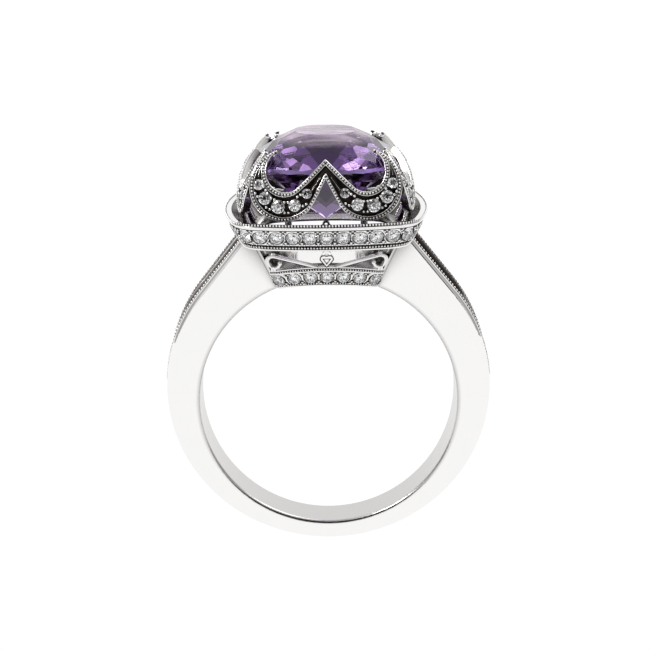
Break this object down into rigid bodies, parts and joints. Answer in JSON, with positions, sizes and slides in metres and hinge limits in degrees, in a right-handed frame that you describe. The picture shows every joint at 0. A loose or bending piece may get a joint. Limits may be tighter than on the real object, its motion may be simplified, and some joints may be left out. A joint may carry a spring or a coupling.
{
  "type": "cocktail ring",
  "caption": "Cocktail ring: a large cushion-cut violet stone in a petal collar over a stone-set rail, a pierced basket and a shank with channelled shoulders.",
  "frame": {"origin": "centre of the finger bore, midway along its width", "axes": "+Y along the finger, with the front of the ring facing -Y; +Z from the finger up through the centre stone; +X to the right seen from the front"},
  "size_m": [0.0212, 0.013, 0.0274],
  "materials": {
    "white_gold": "polished rhodium-plated white gold",
    "diamond": "faceted, polished",
    "amethyst": "faceted, polished"
  },
  "bodies": {
    "root": {"shank": "white_gold", "base_collet": "white_gold", "gallery_front": "white_gold", "gallery_back": "white_gold", "gallery_cheek_left": "white_gold", "gallery_cheek_right": "white_gold", "heart_front": "white_gold", "heart_back": "white_gold", "halo_rail": "white_gold", "petal_front": "white_gold", "petal_right": "white_gold", "petal_back": "white_gold", "petal_left": "white_gold", "base_stones_front": "diamond", "base_stones_back": "diamond", "halo_stones_front": "diamond", "halo_stones_right": "diamond", "halo_stones_back": "diamond", "halo_stones_left": "diamond", "halo_stones_corners": "diamond", "petal_stones_front": "diamond", "petal_stones_right": "diamond", "petal_stones_back": "diamond", "petal_stones_left": "diamond", "centre_stone": "amethyst"}
  },
  "joints": []
}
